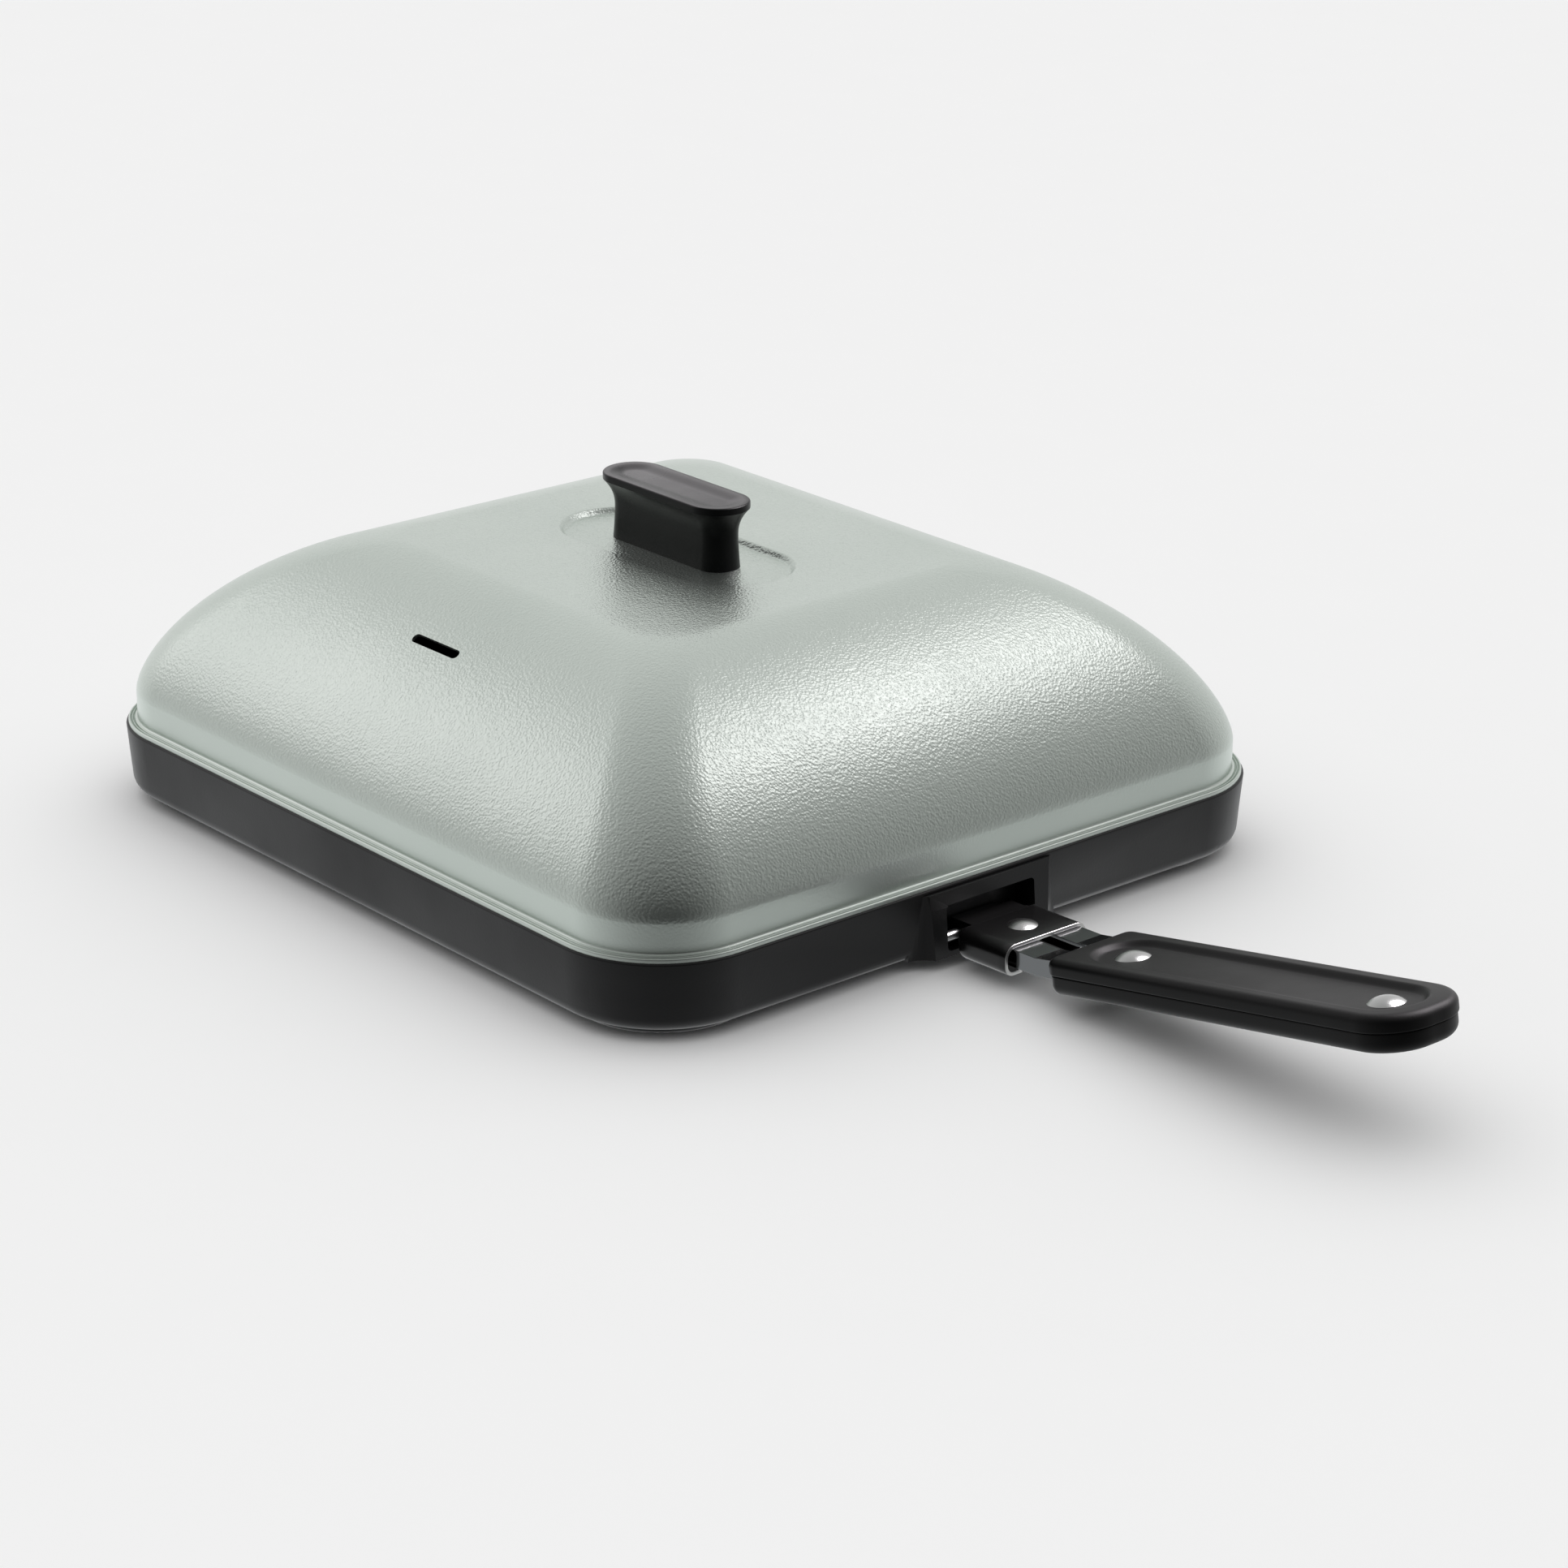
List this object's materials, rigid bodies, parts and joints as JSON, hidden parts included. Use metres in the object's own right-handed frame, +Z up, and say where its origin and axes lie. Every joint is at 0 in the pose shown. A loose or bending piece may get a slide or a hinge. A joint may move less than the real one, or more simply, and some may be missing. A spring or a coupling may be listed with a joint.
{
  "type": "covered doughnut pan",
  "caption": "Rectangular covered pan with a domed lid and bar knob, a ring doughnut mould inside and a tipping long handle with a sliding lock.",
  "frame": {"origin": "centre of the pan's plan, on the plane its feet stand on", "axes": "+X towards the handle, +Z up, +Y across the pan away from the vent slot"},
  "size_m": [0.4803, 0.2698, 0.1141],
  "materials": {
    "pan_casting": "satin non-stick coating on cast aluminium",
    "lid_coating": "satin textured sage powder coat on pressed aluminium",
    "mould_coating": "dark non-stick coating on pressed aluminium",
    "black_moulding": "satin moulded phenolic",
    "grip_moulding": "satin moulded phenolic",
    "black_coated_steel": "semi-gloss black coating on bent steel sheet",
    "bright_steel": "polished stainless steel",
    "rivet_aluminium": "bright satin rivet head",
    "plain_steel": "plain zinc-plated steel",
    "brass": "turned brass"
  },
  "bodies": {
    "pan": {"pan_body": "pan_casting", "hinge_pin": "bright_steel"},
    "mould": {"mould_frame": "mould_coating", "ring_cup_1": "mould_coating", "ring_cup_2": "mould_coating", "ring_cup_3": "mould_coating", "ring_cup_4": "mould_coating", "ring_cup_5": "mould_coating", "ring_cup_6": "mould_coating", "ring_cup_7": "mould_coating", "ring_cup_8": "mould_coating", "ring_cup_9": "mould_coating"},
    "lid": {"lid_shell": "lid_coating", "lid_knob": "black_moulding", "knob_insert_left": "brass", "knob_insert_right": "brass", "knob_washer_left": "plain_steel", "knob_washer_right": "plain_steel", "knob_screw_left": "plain_steel", "knob_screw_right": "plain_steel"},
    "handle": {"handle_sleeve": "black_coated_steel", "guide_rivet": "bright_steel", "guide_washer": "bright_steel"},
    "grip": {"handle_tang": "bright_steel", "grip_upper": "grip_moulding", "grip_lower": "grip_moulding", "grip_rivet_near": "rivet_aluminium", "grip_rivet_far": "rivet_aluminium", "grip_washer_near": "plain_steel", "grip_washer_far": "plain_steel"}
  },
  "joints": [
    {"name": "mould_lift", "type": "slide", "parent": "pan", "child": "mould", "axis": [0, 0, 1], "range_m": [0, 0.06]},
    {"name": "lid_lift", "type": "slide", "parent": "mould", "child": "lid", "axis": [0, 0, 1], "range_m": [0, 0.12]},
    {"name": "handle_tip", "type": "hinge", "parent": "pan", "child": "handle", "pos_m": [0.15, 0, 0.009], "axis": [0, -1, 0], "range_deg": [0, 55]},
    {"name": "lock_slide", "type": "slide", "parent": "handle", "child": "grip", "axis": [0.9994, 0, 0.0349], "range_m": [0, 0.012]}
  ],
  "couplings": [
    {"joint": "lock_slide", "follows": "handle_tip", "m_per_rad": 0.0125}
  ]
}
